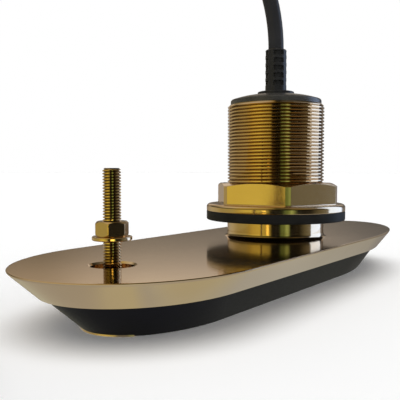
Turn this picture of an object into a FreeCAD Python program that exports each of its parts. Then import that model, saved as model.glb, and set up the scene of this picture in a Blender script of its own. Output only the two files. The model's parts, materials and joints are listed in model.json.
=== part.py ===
import FreeCAD, Part
import math
import os

# Low-profile sonar transducer for a ship's hull: a cast bronze housing with a threaded stem,
# a black cast acoustic body under it, an anti-rotation stud, the hull nut and gasket, the cap
# and strain relief on the stem, and the cable with its plug.
# Millimetres. X runs from the blunt nose (-) to the long tail (+), Z is up, and the origin is
# on the flat underside, below the middle of the deck plate.

V = FreeCAD.Vector
UP = V(0, 0, 1)
EDGE_ROUNDING = 1 - math.sqrt(0.5)   # how far a rounded edge's middle lies in from each side

# Plan of each level: the ends are half ellipses, joined by short straight sides
NOSE_X = -161.0             # tip of the deck plate's blunt end
TAIL_X = 161.0              # tip of the deck plate's long end
DECK_HALF_WIDTH = 55.6
DECK_NOSE_AXIS = 72.0       # half axis of the nose ellipse, along X
DECK_TAIL_AXIS = 105.0
SKIRT_INSET_SIDE = 11.6     # the skirt slopes in below the deck plate's edge
SKIRT_INSET_NOSE = 13.5
SKIRT_INSET_TAIL = 6.0
SKIRT_NOSE_AXIS = 60.0
SKIRT_TAIL_AXIS = 88.0
LEDGE = 3.0                 # the bronze stands out round the acoustic body's top
BODY_INSET_SIDE = 11.0      # the acoustic body slopes in further, down to its underside
BODY_INSET_NOSE = 17.5
BODY_INSET_TAIL = 7.0
BODY_NOSE_AXIS = 51.0
BODY_TAIL_AXIS = 82.0

# Levels
BODY_HEIGHT = 16.0
SKIRT_HEIGHT = 12.0
DECK_Z = BODY_HEIGHT + SKIRT_HEIGHT
DECK_THICKNESS = 7.0
DECK_EDGE_RADIUS = 0.8
BODY_EDGE_RADIUS = 0.8
SHADOW_GAP = 0.6            # small step between the bronze and the black body
SHADOW_GAP_HEIGHT = 0.8

# Stem with an M60 x 2 thread, left plain: crest size where it is free, pitch size inside its nut
STEM_X = 30.5
STEM_RADIUS = 30.0          # shank, and the stretch inside the gasket
STEM_PITCH_RADIUS = 29.35   # where the nut's thread and the stem's meet
STEM_THREAD_RADIUS = 29.9   # crest of the free thread above the nut
STEM_HEIGHT = 81.3          # above the deck plate
STEM_BORE_RADIUS = 23.0
STEM_FOOT_FILLET = 2.0
STEM_TOP_CHAMFER = 1.2

# Hull nut with its flange, and the gasket under it
HULL_GAP = 10.3             # from the deck plate up to the gasket
GASKET_THICKNESS = 5.5
FLANGE_RADIUS = 43.1
FLANGE_THICKNESS = 4.4
HEX_ACROSS_FLATS = 68.8
HEX_HEIGHT = 12.8
HEX_CORNER_RADIUS = 38.8
HEX_TURN_DEG = 39.2
NUT_CHAMFER = 1.4
NUT_MOUTH = 1.2             # the countersink's edge stands outside the stem's crests
HEX_CHAMFER_SLOPE = 0.58    # height of a hexagon's corner chamfer to its width, 30 degrees

# Anti-rotation stud, M8, with its nut and washer
STUD_X = -116.0
STUD_RADIUS = 4.0           # from the recess up through the washer
STUD_PITCH_RADIUS = 3.6     # inside its nut and in the housing
STUD_THREAD_RADIUS = 3.95   # crest of the free thread above its nut
STUD_HEIGHT = 41.9          # above the deck plate
STUD_CHAMFER = 0.8
STUD_DEPTH = 10.0           # below the deck plate
STUD_BOSS_RADIUS = 13.0     # bronze left round the stud, inside the housing
RECESS_RADIUS = 9.9
RECESS_DEPTH = 5.0
RECESS_CHAMFER = 0.9
WASHER_RADIUS = 8.7
WASHER_THICKNESS = 1.7
WASHER_PLAY = 0.2           # round the stud
STUD_NUT_FLATS = 13.0
STUD_NUT_HEIGHT = 6.5
STUD_NUT_CORNER_RADIUS = 7.4
STUD_NUT_TURN_DEG = 29.4
WASHER_LIFT = 10.8          # from the deck plate up to the washer

# Cap in the stem's mouth, with its seal
CAP_RADIUS = 28.1
CAP_RIM = 3.4
CAP_DOME = 2.9
CAP_DOME_BULGE = 0.68       # share of the dome's rise reached halfway in
CAP_RIM_RADIUS = 1.3
CAP_SPIGOT_LENGTH = 9.0
CAP_BOSS_RADIUS = 11.9
SEAL_THICKNESS = 2.4
SEAL_DEPTH = 1.8

# Moulded strain relief
RELIEF_FLANGE_RADIUS = 11.3
RELIEF_FLANGE_THICKNESS = 2.0
RELIEF_RADIUS = 6.55
RELIEF_LENGTH = 26.0
RELIEF_EDGE_RADIUS = 1.0
RELIEF_WINDOWS = 5
RELIEF_COLUMNS = 4
RELIEF_PITCH = 4.6
RELIEF_WINDOW_HEIGHT = 2.7
RELIEF_WINDOW_DEG = 58.0
RELIEF_WALL = 0.45          # skin left between a window and the cable
RELIEF_TURN_DEG = -135.0
RELIEF_FIRST_WINDOW = 5.2   # from the flange up to the middle of the lowest window

# Cable
CABLE_RADIUS = 4.75
COIL_X = -250.0             # centre of the long coil's rounded end nearer the body
COIL_Y = 12.0
COIL_STRAIGHT = 118.0       # its straight sides, along X
COIL_MEAN_RADIUS = 30.5     # of its rounded ends
COIL_COLUMNS = 3
COIL_LAYERS = 4
COIL_TOP_END_DEG = 120.0    # the top layer leaves room on the near end for the cable's landing
COIL_LAST_PLAY = 0.3        # the outermost half turn lies a little off the others

# Inner pieces
FIT = 0.05                  # clearance of a piece that fits round or in another
LINER_WALL = 6.0            # bronze wall left round the body's tongue
POCKET_WALL = 9.0           # body wall left beside the pocket
POCKET_NOSE = 44.0          # and at its ends
POCKET_TAIL = 24.0
POCKET_NOSE_AXIS = 27.0
POCKET_TAIL_AXIS = 30.0
WINDOW_THICKNESS = 5.0      # acoustic window under the elements
ELEMENT_THICKNESS = 9.0
ELEMENT_GAP = 2.0
LOW_LENGTH = 34.0
LOW_MARGIN = 5.0            # from a low-band tile's side to the pocket's wall
LOW_COUNT = 4
HIGH_LENGTH = 15.0
HIGH_MARGIN = 11.0
HIGH_COUNT = 2
BACKING_THICKNESS = 2.5
LEAD_RADIUS = 4.0
BOARD_RADIUS = 21.0
BOARD_THICKNESS = 1.6
BOARD_LIFT = 56.0           # above the deck plate
PROBE_RADIUS = 3.0
PROBE_LENGTH = 14.0
PROBE_BEHIND_STUD = 16.5

# Nose shoe, let into the underside
SHOE_THICKNESS = 1.6
SHOE_LENGTH = 34.0
SHOE_HALF_WIDTH = 16.0
SHOE_PROUD = 0.8

# Plug
BOOT_LENGTH = 26.0
BOOT_RADIUS = 7.5
BOOT_LIP = 0.9              # rubber round the cable where the boot starts
SHELL_RADIUS = 10.5
SHELL_LENGTH = 30.0
SHELL_CHAMFER = 1.5
SHELL_STEP = 1.4            # down to the neck that carries the collar
COLLAR_RADIUS = 12.5
COLLAR_LENGTH = 17.0
COLLAR_CHAMFER = 0.8
COLLAR_OVER_SHELL = 0.45    # share of the collar that lies on the shell's neck
COLLAR_GRIPS = 18
COLLAR_GRIP_RADIUS = 0.9
COLLAR_GRIP_OUT = 0.3       # the grip grooves' axes stand outside the collar
COLLAR_WALL = 1.6
INSERT_DEPTH = 6.0          # from the collar's mouth down to the insert
INSERT_CLEARANCE = 1.2
INSERT_CHAMFER = 0.5
PIN_RADIUS = 0.8
PIN_LENGTH = 5.0
PIN_CIRCLE = 4.8
PIN_COUNT = 8

# Route of the cable from the strain relief to the coil, chosen by eye, X, Y and Z
CABLE_ROUTE = [
    (30.5, 0.0, 143.6),
    (30.5, 0.0, 160.0),
    (23.1, 5.2, 190.0),
    (1.0, 19.0, 226.0),
    (-42.0, 38.0, 246.0),
    (-96.0, 49.0, 241.0),
    (-139.0, 52.0, 214.0),
    (-157.0, 52.0, 176.0),
]
# Its end: distance back from the coil, and height above the top layer
CABLE_LANDING = [(86.0, 100.75), (82.0, 60.75), (72.0, 28.75), (52.0, 8.75), (26.0, 0.0), (0.0, 0.0)]
# From the coil to the plug: distance along X, height and distance outwards
TAIL_RUNS = [(0.0, 0.0, 0.0), (14.0, 0.0, 0.0), (32.0, 3.5, 4.5), (48.0, 7.75, 9.5), (62.0, 7.75, 9.5)]


def half_ellipse(centre_x, axis, half_width, z, start_deg):
    """Half of an ellipse whose axes lie along X and Y, whichever of the two is longer."""
    centre = V(centre_x, 0, z)
    along_x = centre + V(axis, 0, 0)
    along_y = centre + V(0, half_width, 0)
    if axis >= half_width:
        ellipse = Part.Ellipse(along_x, along_y, centre)
        start = math.radians(start_deg)
    else:
        ellipse = Part.Ellipse(along_y, centre - V(axis, 0, 0), centre)
        start = math.radians(start_deg - 90)
    return Part.ArcOfEllipse(ellipse, start, start + math.pi).toShape()


def plan_wire(plan, z):
    """Closed outline: plan is (nose x, tail x, half width, nose axis, tail axis)."""
    nose_x, tail_x, half_width, nose_axis, tail_axis = plan
    nose_centre = nose_x + nose_axis
    tail_centre = tail_x - tail_axis
    left = half_ellipse(nose_centre, nose_axis, half_width, z, 90)
    right = half_ellipse(tail_centre, tail_axis, half_width, z, -90)
    low = Part.LineSegment(V(nose_centre, -half_width, z), V(tail_centre, -half_width, z))
    high = Part.LineSegment(V(tail_centre, half_width, z), V(nose_centre, half_width, z))
    return Part.Wire([left, low.toShape(), right, high.toShape()])


def inset(plan, distance):
    """The same kind of outline, smaller all round."""
    nose_x, tail_x, half_width, nose_axis, tail_axis = plan
    return (nose_x + distance, tail_x - distance, half_width - distance,
            nose_axis - distance, tail_axis - distance)


def tapered(plan, nose, tail, side, nose_axis, tail_axis):
    """An outline set in by its own amount at each end and at the sides, with its own end curves."""
    return (plan[0] + nose, plan[1] - tail, plan[2] - side, nose_axis, tail_axis)


def loft(low_plan, low_z, high_plan, high_z):
    return Part.makeLoft([plan_wire(low_plan, low_z), plan_wire(high_plan, high_z)], True, True)


def prism(plan, low_z, high_z):
    return Part.Face(plan_wire(plan, low_z)).extrude(V(0, 0, high_z - low_z))


def cylinder(x, radius, low_z, high_z):
    return Part.makeCylinder(radius, high_z - low_z, V(x, 0, low_z))


def turned(x, profile):
    """Solid of revolution about the vertical line at x; profile is a list of (radius, z)."""
    points = [V(x + radius, 0, z) for radius, z in profile]
    face = Part.Face(Part.makePolygon(points + points[:1]))
    return face.revolve(V(x, 0, 0), UP, 360)


def edges_at(shape, z):
    """Edges that lie wholly at height z."""
    found = []
    for edge in shape.Edges:
        box = edge.BoundBox
        if abs(box.ZMin - z) < 1e-3 and abs(box.ZMax - z) < 1e-3:
            found.append(edge)
    return found


def hexagon(x, across_flats, corner_radius, low_z, high_z, turn_deg, chamfer):
    """Hex prism with turned corners and a conical chamfer at its top."""
    across_corners = across_flats / math.sqrt(3)
    angles = [math.radians(turn_deg + 60 * k) for k in range(6)]
    points = [V(x + across_corners * math.cos(a), across_corners * math.sin(a), low_z) for a in angles]
    prism_solid = Part.Face(Part.makePolygon(points + points[:1])).extrude(V(0, 0, high_z - low_z))
    turned_blank = turned(x, [
        (0, low_z),
        (corner_radius, low_z),
        (corner_radius, high_z - chamfer * HEX_CHAMFER_SLOPE),
        (corner_radius - chamfer, high_z),
        (0, high_z),
    ])
    return prism_solid.common(turned_blank)


# Outlines of the levels
deck_plan = (NOSE_X, TAIL_X, DECK_HALF_WIDTH, DECK_NOSE_AXIS, DECK_TAIL_AXIS)
skirt_plan = tapered(deck_plan, SKIRT_INSET_NOSE, SKIRT_INSET_TAIL, SKIRT_INSET_SIDE,
                     SKIRT_NOSE_AXIS, SKIRT_TAIL_AXIS)
body_top_plan = inset(skirt_plan, LEDGE)
body_low_plan = tapered(body_top_plan, BODY_INSET_NOSE, BODY_INSET_TAIL, BODY_INSET_SIDE,
                        BODY_NOSE_AXIS, BODY_TAIL_AXIS)
tongue_plan = inset(body_top_plan, LINER_WALL)
pocket_plan = tapered(tongue_plan, POCKET_NOSE, POCKET_TAIL, POCKET_WALL,
                      POCKET_NOSE_AXIS, POCKET_TAIL_AXIS)

# Levels that several pieces share
tongue_z = DECK_Z - DECK_THICKNESS
stem_top_z = DECK_Z + STEM_HEIGHT
gasket_z = DECK_Z + HULL_GAP
flange_z = gasket_z + GASKET_THICKNESS
hex_z = flange_z + FLANGE_THICKNESS
hex_top_z = hex_z + HEX_HEIGHT
washer_z = DECK_Z + WASHER_LIFT
stud_nut_z = washer_z + WASHER_THICKNESS
stud_nut_top_z = stud_nut_z + STUD_NUT_HEIGHT
stud_low_z = DECK_Z - STUD_DEPTH
recess_z = DECK_Z - RECESS_DEPTH
board_z = DECK_Z + BOARD_LIFT
cap_rim_z = stem_top_z + CAP_RIM
cap_top_z = cap_rim_z + CAP_DOME
spigot_z = stem_top_z - CAP_SPIGOT_LENGTH
relief_z = cap_top_z + RELIEF_FLANGE_THICKNESS
relief_top_z = relief_z + RELIEF_LENGTH
element_z = WINDOW_THICKNESS
backing_z = element_z + ELEMENT_THICKNESS
resin_z = backing_z + BACKING_THICKNESS
probe_x = STUD_X + PROBE_BEHIND_STUD


def make_housing():
    """One casting: deck plate, sloped skirt and stem, with the recess round the stud."""
    plate = loft(skirt_plan, BODY_HEIGHT, deck_plan, DECK_Z)
    plate = plate.makeFillet(DECK_EDGE_RADIUS, edges_at(plate, DECK_Z))
    fillet_centre = V(STEM_X + STEM_RADIUS + STEM_FOOT_FILLET, 0, DECK_Z + STEM_FOOT_FILLET)
    foot_low = V(STEM_X + STEM_RADIUS + STEM_FOOT_FILLET, 0, DECK_Z)
    foot_high = V(STEM_X + STEM_RADIUS, 0, DECK_Z + STEM_FOOT_FILLET)
    bulge = STEM_FOOT_FILLET * math.sqrt(0.5)
    foot_mid = fillet_centre - V(bulge, 0, bulge)
    shank_top = V(STEM_X + STEM_RADIUS, 0, flange_z)
    pitch_low = V(STEM_X + STEM_PITCH_RADIUS, 0, flange_z)
    pitch_high = V(STEM_X + STEM_PITCH_RADIUS, 0, hex_top_z)
    thread_low = V(STEM_X + STEM_THREAD_RADIUS, 0, hex_top_z)
    top_low = V(STEM_X + STEM_THREAD_RADIUS, 0, stem_top_z - STEM_TOP_CHAMFER)
    top_high = V(STEM_X + STEM_THREAD_RADIUS - STEM_TOP_CHAMFER, 0, stem_top_z)
    axis_top = V(STEM_X, 0, stem_top_z)
    axis_low = V(STEM_X, 0, DECK_Z - 1)
    under_foot = V(foot_low.x, 0, DECK_Z - 1)
    outline = Part.Wire([
        Part.makeLine(under_foot, foot_low),
        Part.Arc(foot_low, foot_mid, foot_high).toShape(),
        Part.makeLine(foot_high, shank_top),
        Part.makeLine(shank_top, pitch_low),
        Part.makeLine(pitch_low, pitch_high),
        Part.makeLine(pitch_high, thread_low),
        Part.makeLine(thread_low, top_low),
        Part.makeLine(top_low, top_high),
        Part.makeLine(top_high, axis_top),
        Part.makeLine(axis_top, axis_low),
        Part.makeLine(axis_low, under_foot),
    ])
    stem = Part.Face(outline).revolve(V(STEM_X, 0, 0), UP, 360)
    housing = plate.fuse(stem).removeSplitter()
    cavity = prism(tongue_plan, BODY_HEIGHT - 1, tongue_z)
    cavity = cavity.cut(cylinder(STUD_X, STUD_BOSS_RADIUS, BODY_HEIGHT, tongue_z + 1))
    bore = cylinder(STEM_X, STEM_BORE_RADIUS, BODY_HEIGHT, stem_top_z + 1)
    recess = turned(STUD_X, [
        (0, recess_z),
        (RECESS_RADIUS, recess_z),
        (RECESS_RADIUS, DECK_Z - RECESS_CHAMFER),
        (RECESS_RADIUS + RECESS_CHAMFER + 1, DECK_Z + 1),
        (0, DECK_Z + 1),
    ])
    stud_hole = cylinder(STUD_X, STUD_PITCH_RADIUS + FIT, stud_low_z - FIT, recess_z + 1)
    return housing.cut([cavity, bore, recess, stud_hole])


def make_acoustic_body():
    """Black cast body: sloped sides, flat underside, a tongue up into the bronze and a pocket."""
    top_z = BODY_HEIGHT - SHADOW_GAP_HEIGHT
    lower = loft(body_low_plan, 0, body_top_plan, top_z)
    lower = lower.makeFillet(BODY_EDGE_RADIUS, edges_at(lower, 0))
    neck = prism(inset(body_top_plan, SHADOW_GAP), top_z, BODY_HEIGHT)
    tongue = prism(inset(tongue_plan, FIT), BODY_HEIGHT, tongue_z - FIT)
    body = lower.fuse([neck, tongue]).removeSplitter()
    pocket = prism(pocket_plan, element_z, tongue_z)
    probe_hole = cylinder(probe_x, PROBE_RADIUS + FIT, tongue_z - PROBE_LENGTH, tongue_z)
    boss_hole = cylinder(STUD_X, STUD_BOSS_RADIUS + FIT, BODY_HEIGHT, tongue_z)
    return body.cut([pocket, probe_hole, boss_hole, shoe_blank(FIT)])


def shoe_blank(clearance):
    """Crescent plate that follows the underside's nose; grown by a clearance for its seat."""
    grown = SHOE_PROUD + clearance
    plan = inset(body_low_plan, -grown)
    plate = prism(plan, -clearance, SHOE_THICKNESS + clearance)
    start_x = body_low_plan[0] - grown
    length = SHOE_LENGTH + grown + clearance
    width = 2 * (SHOE_HALF_WIDTH + clearance)
    round_x = start_x + length - width / 2
    foot = V(start_x, -width / 2, -SHOE_THICKNESS)
    strip = Part.makeBox(round_x - start_x, width, 3 * SHOE_THICKNESS, foot)
    round_end = cylinder(round_x, width / 2, -SHOE_THICKNESS, 2 * SHOE_THICKNESS)
    return plate.common(strip.fuse(round_end))


def make_shoe():
    return shoe_blank(0.0)


def make_hull_nut():
    """Turned flange with a hexagon on it, bored for the stem."""
    rounding = NUT_CHAMFER * EDGE_ROUNDING
    flange = turned(STEM_X, [
        (0, flange_z),
        (FLANGE_RADIUS, flange_z),
        (FLANGE_RADIUS, hex_z - NUT_CHAMFER),
        (FLANGE_RADIUS - rounding, hex_z - rounding),
        (FLANGE_RADIUS - NUT_CHAMFER, hex_z),
        (0, hex_z),
    ])
    head = hexagon(STEM_X, HEX_ACROSS_FLATS, HEX_CORNER_RADIUS, hex_z, hex_top_z, HEX_TURN_DEG, NUT_CHAMFER)
    nut = flange.fuse(head).removeSplitter()
    bore_radius = STEM_PITCH_RADIUS + FIT
    mouth_radius = STEM_RADIUS + NUT_MOUTH
    bore = turned(STEM_X, [
        (0, flange_z - 1),
        (bore_radius, flange_z - 1),
        (bore_radius, hex_top_z - mouth_radius + bore_radius),
        (mouth_radius + 1, hex_top_z + 1),
        (0, hex_top_z + 1),
    ])
    return nut.cut(bore)


def make_gasket():
    ring = cylinder(STEM_X, FLANGE_RADIUS, gasket_z, flange_z)
    return ring.cut(cylinder(STEM_X, STEM_RADIUS + FIT, gasket_z - 1, flange_z + 1))


def make_stud():
    top_z = DECK_Z + STUD_HEIGHT
    return turned(STUD_X, [
        (0, stud_low_z),
        (STUD_PITCH_RADIUS - STUD_CHAMFER, stud_low_z),
        (STUD_PITCH_RADIUS, stud_low_z + STUD_CHAMFER),
        (STUD_PITCH_RADIUS, recess_z),
        (STUD_RADIUS, recess_z),
        (STUD_RADIUS, stud_nut_z),
        (STUD_PITCH_RADIUS, stud_nut_z),
        (STUD_PITCH_RADIUS, stud_nut_top_z),
        (STUD_THREAD_RADIUS, stud_nut_top_z),
        (STUD_THREAD_RADIUS, top_z - STUD_CHAMFER),
        (STUD_THREAD_RADIUS - STUD_CHAMFER, top_z),
        (0, top_z),
    ])


def make_stud_washer():
    ring = cylinder(STUD_X, WASHER_RADIUS, washer_z, stud_nut_z)
    return ring.cut(cylinder(STUD_X, STUD_RADIUS + WASHER_PLAY, washer_z - 1, stud_nut_z + 1))


def make_stud_nut():
    nut = hexagon(STUD_X, STUD_NUT_FLATS, STUD_NUT_CORNER_RADIUS, stud_nut_z, stud_nut_top_z,
                  STUD_NUT_TURN_DEG, STUD_CHAMFER)
    return nut.cut(cylinder(STUD_X, STUD_PITCH_RADIUS + FIT, stud_nut_z - 1, stud_nut_top_z + 1))


def make_cap():
    """Low domed cap with a rounded rim, a boss for the strain relief and a spigot with a seal groove."""
    rim_low = V(STEM_X + CAP_RADIUS, 0, stem_top_z)
    rim_high = V(STEM_X + CAP_RADIUS, 0, cap_rim_z - CAP_RIM_RADIUS)
    rounding = CAP_RIM_RADIUS * EDGE_ROUNDING
    rim_mid = V(STEM_X + CAP_RADIUS - rounding, 0, cap_rim_z - rounding)
    rim_in = V(STEM_X + CAP_RADIUS - CAP_RIM_RADIUS, 0, cap_rim_z)
    boss_edge = V(STEM_X + CAP_BOSS_RADIUS, 0, cap_top_z)
    half = (rim_in.x + boss_edge.x) / 2
    dome_mid = V(half, 0, cap_rim_z + CAP_DOME * CAP_DOME_BULGE)
    spigot_radius = STEM_BORE_RADIUS - FIT
    points = [
        boss_edge,
        V(STEM_X, 0, cap_top_z),
        V(STEM_X, 0, spigot_z),
        V(STEM_X + spigot_radius, 0, spigot_z),
        V(STEM_X + spigot_radius, 0, stem_top_z),
        rim_low,
        rim_high,
    ]
    edges = [Part.makeLine(a, b) for a, b in zip(points, points[1:])]
    edges.append(Part.Arc(rim_high, rim_mid, rim_in).toShape())
    edges.append(Part.Arc(rim_in, dome_mid, boss_edge).toShape())
    cap = Part.Face(Part.Wire(edges)).revolve(V(STEM_X, 0, 0), UP, 360)
    groove = make_seal(FIT, 1.0)
    return cap.cut([groove, cylinder(STEM_X, CABLE_RADIUS + FIT, spigot_z - 1, cap_top_z + 1)])


def make_seal(clearance=0.0, extra=0.0):
    """Ring in the spigot's groove; clearance and extra make the groove that it sits in."""
    middle = (spigot_z + stem_top_z) / 2
    low_z = middle - SEAL_THICKNESS / 2 - clearance
    high_z = middle + SEAL_THICKNESS / 2 + clearance
    outer = STEM_BORE_RADIUS - FIT / 2 + extra
    inner = STEM_BORE_RADIUS - SEAL_DEPTH - clearance
    return cylinder(STEM_X, outer, low_z, high_z).cut(cylinder(STEM_X, inner, low_z - 1, high_z + 1))


def make_strain_relief():
    """Round flange and a sleeve whose rings are joined by four ribs, with windows between them."""
    flange = cylinder(STEM_X, RELIEF_FLANGE_RADIUS, cap_top_z, relief_z)
    flange = flange.makeFillet(RELIEF_EDGE_RADIUS * 0.6, edges_at(flange, relief_z))
    sleeve = cylinder(STEM_X, RELIEF_RADIUS, relief_z, relief_top_z)
    sleeve = sleeve.makeFillet(RELIEF_EDGE_RADIUS, edges_at(sleeve, relief_top_z))
    relief = flange.fuse(sleeve).removeSplitter()
    cuts = [cylinder(STEM_X, CABLE_RADIUS + FIT, cap_top_z - 1, relief_top_z + 1)]
    floor_radius = CABLE_RADIUS + RELIEF_WALL
    for level in range(RELIEF_WINDOWS):
        middle = relief_z + RELIEF_FIRST_WINDOW + level * RELIEF_PITCH
        low_z = middle - RELIEF_WINDOW_HEIGHT / 2
        for column in range(RELIEF_COLUMNS):
            turn = RELIEF_TURN_DEG + column * 360.0 / RELIEF_COLUMNS
            start = math.radians(turn - RELIEF_WINDOW_DEG / 2)
            reach = RELIEF_RADIUS + 1
            face = Part.makePolygon([
                V(STEM_X + floor_radius * math.cos(start), floor_radius * math.sin(start), low_z),
                V(STEM_X + reach * math.cos(start), reach * math.sin(start), low_z),
                V(STEM_X + reach * math.cos(start), reach * math.sin(start), low_z + RELIEF_WINDOW_HEIGHT),
                V(STEM_X + floor_radius * math.cos(start), floor_radius * math.sin(start),
                  low_z + RELIEF_WINDOW_HEIGHT),
                V(STEM_X + floor_radius * math.cos(start), floor_radius * math.sin(start), low_z),
            ])
            cuts.append(Part.Face(face).revolve(V(STEM_X, 0, 0), UP, RELIEF_WINDOW_DEG))
    return relief.cut(cuts)


def make_inner_cable():
    return cylinder(STEM_X, CABLE_RADIUS, board_z + BOARD_THICKNESS, relief_top_z)


def bent_path(points):
    """Straight runs joined by tangent arcs, as large as their runs allow; returns wire and radii."""
    edges = []
    radii = []
    start = points[0]
    for before, corner, after in zip(points, points[1:], points[2:]):
        arrive = (corner - before).normalize()
        leave = (after - corner).normalize()
        half_turn = arrive.getAngle(leave) / 2
        cut_back = 0.45 * min((corner - before).Length, (after - corner).Length)
        radius = cut_back / math.tan(half_turn)
        first = corner - arrive * cut_back
        last = corner + leave * cut_back
        inward = (leave - arrive).normalize()
        middle = corner + inward * (radius / math.cos(half_turn) - radius)
        edges.append(Part.makeLine(start, first))
        edges.append(Part.Arc(first, middle, last).toShape())
        radii.append(round(radius, 1))
        start = last
    edges.append(Part.makeLine(start, points[-1]))
    return Part.Wire(edges), radii


def tube(points, name):
    path, radii = bent_path(points)
    direction = points[1] - points[0]
    ring = Part.Wire(Part.Circle(points[0], direction, CABLE_RADIUS).toShape())
    solid = path.makePipeShell([ring], True, True)
    section = math.pi * CABLE_RADIUS ** 2
    print(name, "length", round(path.Length, 1), "radii", radii,
          "volume share", round(solid.Volume / (section * path.Length), 4))
    return solid


def coil_radius(column):
    return COIL_MEAN_RADIUS + (column - (COIL_COLUMNS - 1) / 2) * 2 * CABLE_RADIUS


def coil_sector(centre_x, low_radius, high_radius, low_z, high_z, start_deg, span_deg):
    angle = math.radians(start_deg)
    corners = [(low_radius, low_z), (high_radius, low_z), (high_radius, high_z), (low_radius, high_z)]
    points = [V(centre_x + r * math.cos(angle), COIL_Y + r * math.sin(angle), z) for r, z in corners]
    face = Part.Face(Part.makePolygon(points + points[:1]))
    return face.revolve(V(centre_x, COIL_Y, 0), UP, span_deg)


coil_inner = coil_radius(0) - CABLE_RADIUS
coil_outer = coil_radius(COIL_COLUMNS - 1) + CABLE_RADIUS
coil_far_x = COIL_X - COIL_STRAIGHT
last_turn_radius = coil_radius(COIL_COLUMNS) + COIL_LAST_PLAY


def coil_ring(low_z, high_z, near_span_deg):
    """Long oval ring; near_span_deg is how much of its end nearer the body is there."""
    near = coil_sector(COIL_X, coil_inner, coil_outer, low_z, high_z, -90, near_span_deg)
    far = coil_sector(coil_far_x, coil_inner, coil_outer, low_z, high_z, 90, 180)
    sides = []
    for side_y in (COIL_Y + coil_inner, COIL_Y - coil_outer):
        corner = V(coil_far_x, side_y, low_z)
        sides.append(Part.makeBox(COIL_STRAIGHT, coil_outer - coil_inner, high_z - low_z, corner))
    return near.fuse([far] + sides)


def make_coil():
    """Outer shape of the wound cable: full layers, a top layer and an outermost half turn."""
    layer = 2 * CABLE_RADIUS
    top_low = layer * (COIL_LAYERS - 1)
    full = coil_ring(0, top_low, 180)
    top = coil_ring(top_low, top_low + layer, COIL_TOP_END_DEG)
    last = coil_sector(coil_far_x, coil_outer, last_turn_radius + CABLE_RADIUS, 0, layer, 90, 180)
    return full.fuse([top, last]).removeSplitter()


def cable_points():
    entry_z = 2 * CABLE_RADIUS * (COIL_LAYERS - 0.5)
    entry = V(COIL_X, COIL_Y + coil_radius(COIL_COLUMNS - 1), entry_z)
    landing = [entry + V(back, 0, rise) for back, rise in CABLE_LANDING]
    return [V(*p) for p in CABLE_ROUTE] + landing


def tail_points():
    start = V(coil_far_x, COIL_Y - last_turn_radius, CABLE_RADIUS)
    return [start + V(along, -out, rise) for along, rise, out in TAIL_RUNS]


def plug_place():
    """Where the plug starts, and its direction."""
    return tail_points()[-1], V(1, 0, 0)


def along_plug(profile):
    """Turned piece of the plug; profile is a list of (radius, distance along the plug)."""
    start, direction = plug_place()
    points = [V(radius, 0, along) for radius, along in profile]
    face = Part.Face(Part.makePolygon(points + points[:1]))
    solid = face.revolve(V(0, 0, 0), UP, 360)
    solid.Placement = FreeCAD.Placement(start, FreeCAD.Rotation(UP, direction))
    return solid


shell_start = BOOT_LENGTH
shell_end = shell_start + SHELL_LENGTH
neck_radius = SHELL_RADIUS - SHELL_STEP
collar_start = shell_end - COLLAR_LENGTH * COLLAR_OVER_SHELL
collar_end = collar_start + COLLAR_LENGTH
insert_end = collar_end - INSERT_DEPTH


def make_plug_boot():
    """Tapered rubber boot that ends on the shell's back."""
    return along_plug([
        (0, 0),
        (CABLE_RADIUS + BOOT_LIP, 0),
        (BOOT_RADIUS, shell_start),
        (0, shell_start),
    ])


def make_plug_shell():
    """Body of the plug, with a neck at its front that carries the collar."""
    shoulder = collar_start - 1.0
    return along_plug([
        (0, shell_start),
        (SHELL_RADIUS - SHELL_CHAMFER, shell_start),
        (SHELL_RADIUS, shell_start + SHELL_CHAMFER),
        (SHELL_RADIUS, shoulder),
        (neck_radius, shoulder),
        (neck_radius, shell_end),
        (0, shell_end),
    ])


def make_plug_collar():
    """Locking collar that turns on the shell's neck, with grip grooves round it."""
    inner = neck_radius + FIT
    mouth = COLLAR_RADIUS - COLLAR_WALL
    collar = along_plug([
        (inner, collar_start),
        (COLLAR_RADIUS - COLLAR_CHAMFER, collar_start),
        (COLLAR_RADIUS, collar_start + COLLAR_CHAMFER),
        (COLLAR_RADIUS, collar_end - COLLAR_CHAMFER),
        (COLLAR_RADIUS - COLLAR_CHAMFER, collar_end),
        (mouth, collar_end),
        (mouth, shell_end),
        (inner, shell_end),
    ])
    start, direction = plug_place()
    turn = FreeCAD.Rotation(UP, direction)
    grips = []
    for k in range(COLLAR_GRIPS):
        angle = 2 * math.pi * k / COLLAR_GRIPS
        reach = COLLAR_RADIUS + COLLAR_GRIP_OUT
        foot = V(reach * math.cos(angle), reach * math.sin(angle), collar_start - 1)
        groove = Part.makeCylinder(COLLAR_GRIP_RADIUS, COLLAR_LENGTH + 2, foot)
        groove.Placement = FreeCAD.Placement(start, turn).multiply(groove.Placement)
        grips.append(groove)
    return collar.cut(grips)


def make_plug_insert():
    """Moulded insert that holds the pins; it stands on the shell's end inside the collar."""
    radius = COLLAR_RADIUS - COLLAR_WALL - INSERT_CLEARANCE
    return along_plug([
        (0, shell_end),
        (radius, shell_end),
        (radius, insert_end - INSERT_CHAMFER),
        (radius - INSERT_CHAMFER, insert_end),
        (0, insert_end),
    ])


def make_plug_pins():
    """Ring of contact pins, all alike."""
    start, direction = plug_place()
    turn = FreeCAD.Rotation(UP, direction)
    pins = []
    for k in range(PIN_COUNT):
        angle = 2 * math.pi * (k + 0.5) / PIN_COUNT
        foot = V(PIN_CIRCLE * math.cos(angle), PIN_CIRCLE * math.sin(angle), insert_end)
        pin = Part.makeCylinder(PIN_RADIUS, PIN_LENGTH, foot)
        pin.Placement = FreeCAD.Placement(start, turn).multiply(pin.Placement)
        pins.append(pin)
    return Part.makeCompound(pins)


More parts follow.
